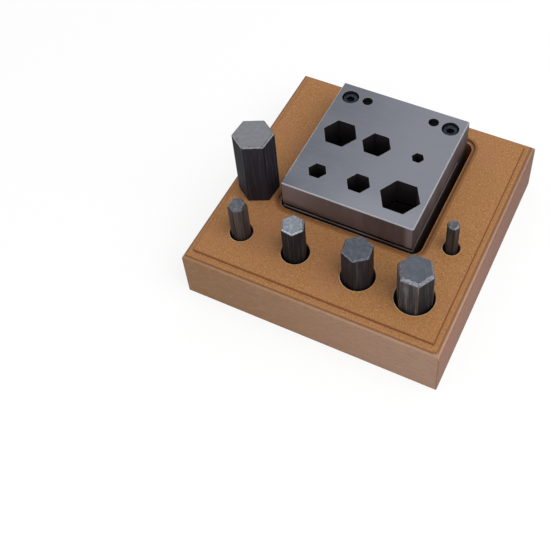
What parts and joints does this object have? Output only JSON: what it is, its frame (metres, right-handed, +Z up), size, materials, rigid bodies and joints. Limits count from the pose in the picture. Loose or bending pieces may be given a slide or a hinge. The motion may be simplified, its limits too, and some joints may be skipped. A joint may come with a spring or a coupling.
{
  "type": "disc cutter",
  "caption": "Hexagon disc cutter for sheet metal: a two-plate steel block with graded hexagonal holes in the pocket of a fibreboard base, which also stores the matching punches.",
  "frame": {"origin": "middle of the base's underside, on the surface that it stands on", "axes": "+Z up, +Y from the front row of punches towards the two screws at the back, +X to the right seen from the front"},
  "size_m": [0.119, 0.121, 0.064],
  "materials": {
    "fibreboard": "bare sanded fibreboard",
    "plate_steel": "ground tool steel",
    "strip_steel": "cold rolled strip",
    "black_oxide": "black oxide, oiled",
    "dowel_steel": "hardened, dark",
    "punch_steel": "hardened hexagon bar, dark sides and bright struck ends"
  },
  "bodies": {
    "base": {"base_board": "fibreboard"},
    "die_block": {"die_plate": "plate_steel", "spacer_strip": "strip_steel", "guide_plate": "plate_steel", "cap_screw_left": "black_oxide", "cap_screw_right": "black_oxide", "dowel_pin_left": "dowel_steel", "dowel_pin_right": "dowel_steel"},
    "punch_16mm": {"punch_16mm": "punch_steel"},
    "punch_14mm": {"punch_14mm": "punch_steel"},
    "punch_12mm": {"punch_12mm": "punch_steel"},
    "punch_9_5mm": {"punch_9_5mm": "punch_steel"},
    "punch_7_5mm": {"punch_7_5mm": "punch_steel"},
    "punch_5mm": {"punch_5mm": "punch_steel"}
  },
  "joints": [
    {"name": "die_block_lift", "type": "slide", "parent": "base", "child": "die_block", "axis": [0, 0, 1], "range_m": [0, 0.02]},
    {"name": "punch_16mm_lift", "type": "slide", "parent": "base", "child": "punch_16mm", "axis": [0, 0, 1], "range_m": [0, 0.02]},
    {"name": "punch_14mm_lift", "type": "slide", "parent": "base", "child": "punch_14mm", "axis": [0, 0, 1], "range_m": [0, 0.02]},
    {"name": "punch_12mm_lift", "type": "slide", "parent": "base", "child": "punch_12mm", "axis": [0, 0, 1], "range_m": [0, 0.021]},
    {"name": "punch_9_5mm_lift", "type": "slide", "parent": "base", "child": "punch_9_5mm", "axis": [0, 0, 1], "range_m": [0, 0.021]},
    {"name": "punch_7_5mm_lift", "type": "slide", "parent": "base", "child": "punch_7_5mm", "axis": [0, 0, 1], "range_m": [0, 0.021]},
    {"name": "punch_5mm_lift", "type": "slide", "parent": "base", "child": "punch_5mm", "axis": [0, 0, 1], "range_m": [0, 0.024]}
  ]
}
